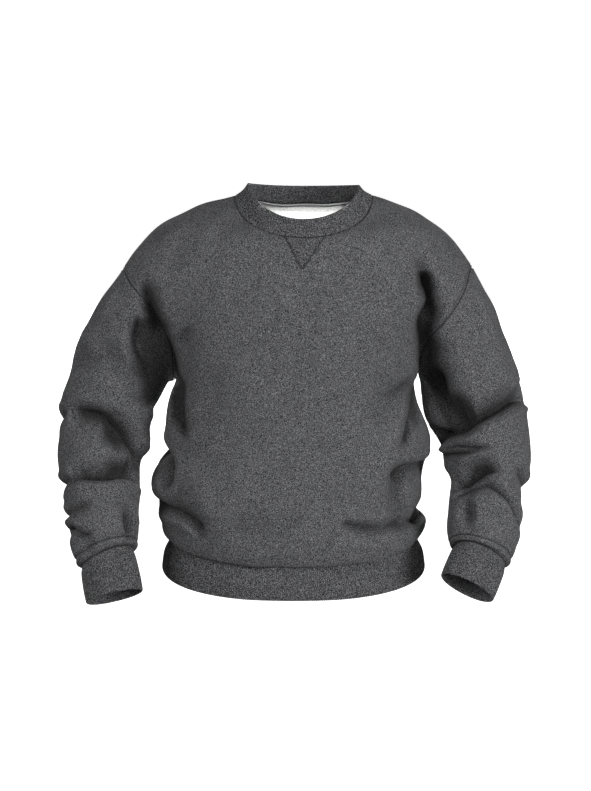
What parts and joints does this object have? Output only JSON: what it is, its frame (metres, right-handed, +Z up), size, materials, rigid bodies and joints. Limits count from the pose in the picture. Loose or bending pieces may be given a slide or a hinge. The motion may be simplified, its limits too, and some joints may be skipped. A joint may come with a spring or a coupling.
{
  "type": "crewneck sweatshirt",
  "caption": "Men's long-sleeved crewneck sweatshirt in brushed fleece, filled out as worn, with ribbed collar, cuffs and hem, a V insert and a taped back neck.",
  "frame": {"origin": "middle of the neck, at the height where the shoulders meet it", "axes": "+Z up; the wearer faces -Y, so the wearer's left side is towards +X"},
  "size_m": [0.7286, 0.325, 0.6166],
  "materials": {
    "fleece": "brushed-back fleece, charcoal heather outside and off-white inside",
    "rib": "charcoal heather rib knit",
    "tape": "grey jersey tape"
  },
  "bodies": {
    "root": {"front_panel": "fleece", "back_panel": "fleece", "sleeve_right": "fleece", "sleeve_left": "fleece", "collar_rib": "rib", "hem_rib": "rib", "cuff_right": "rib", "cuff_left": "rib", "v_insert": "rib", "neck_tape": "tape"}
  },
  "joints": []
}
